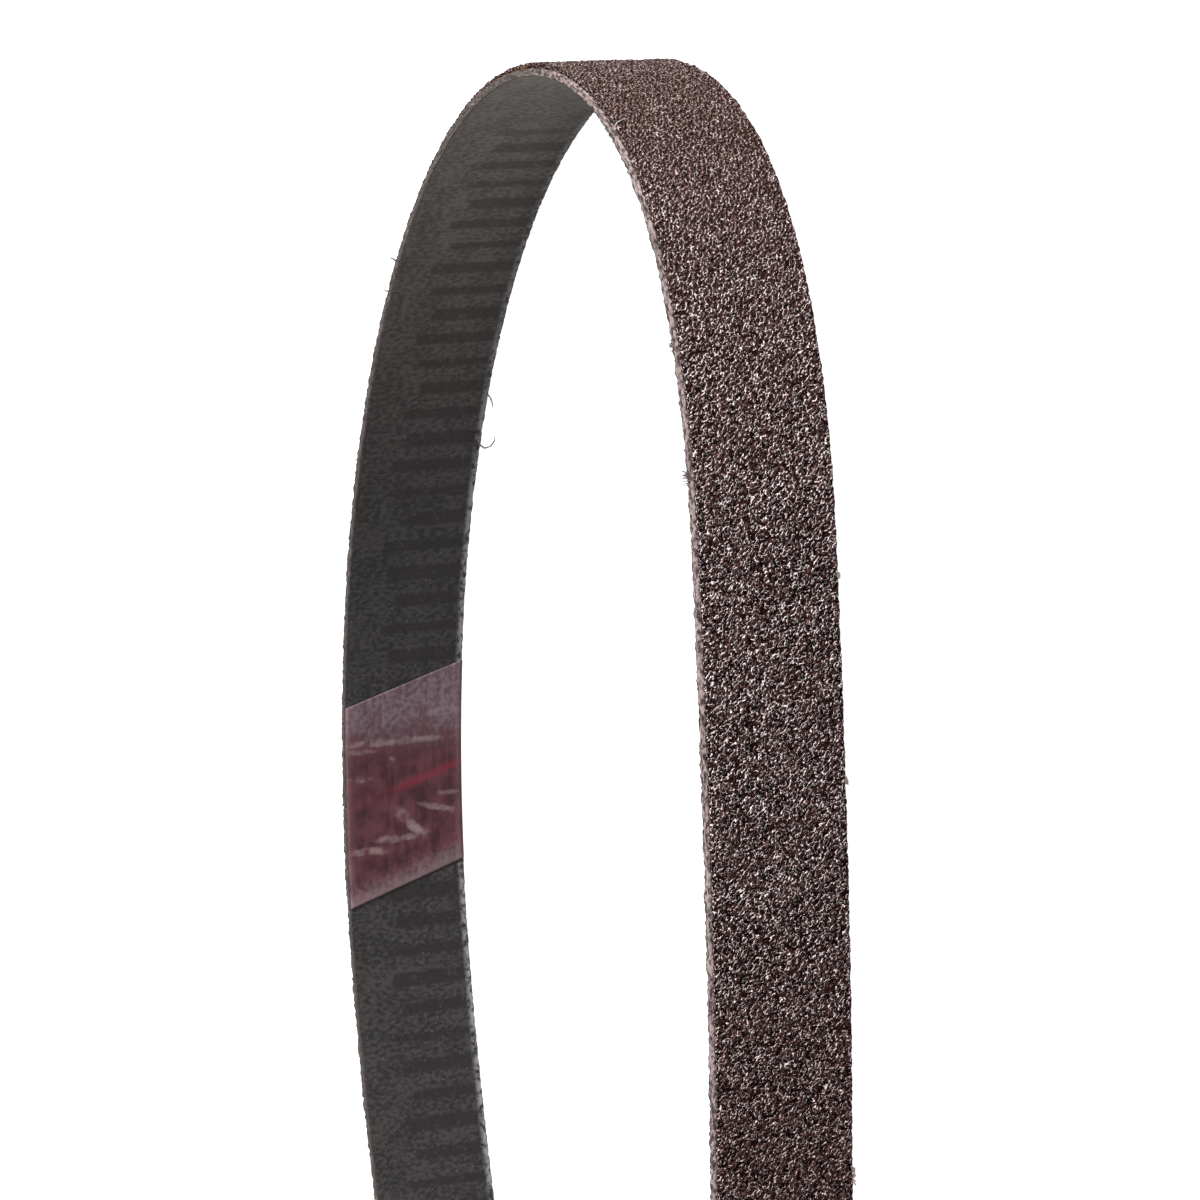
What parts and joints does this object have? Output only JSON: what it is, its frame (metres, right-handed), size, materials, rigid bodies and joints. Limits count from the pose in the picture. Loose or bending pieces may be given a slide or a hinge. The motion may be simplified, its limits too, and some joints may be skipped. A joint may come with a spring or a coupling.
{
  "type": "sanding belt",
  "caption": "Narrow sanding belt: a closed loop of cloth with bonded abrasive grain on its outer face and a skew butt joint, taped on its inner face.",
  "frame": {"origin": "middle of the loop's box, at the lower side edge of the belt, on which it lies", "axes": "+X along the loop's long axis, from the bottom bend to the crest; +Y from the near run to the far run, which has the joint; +Z across the belt's width, up"},
  "size_m": [0.1928, 0.0918, 0.0127],
  "materials": {
    "cloth": "resin-filled twill, dyed dark grey, with pale frayed cut edges",
    "grain": "coarse dark brown grain under a glossy resin coat",
    "film": "thin maroon tape with pale filaments"
  },
  "bodies": {
    "root": {"cloth_backing": "cloth", "abrasive_coat": "grain", "joint_tape": "film"}
  },
  "joints": []
}
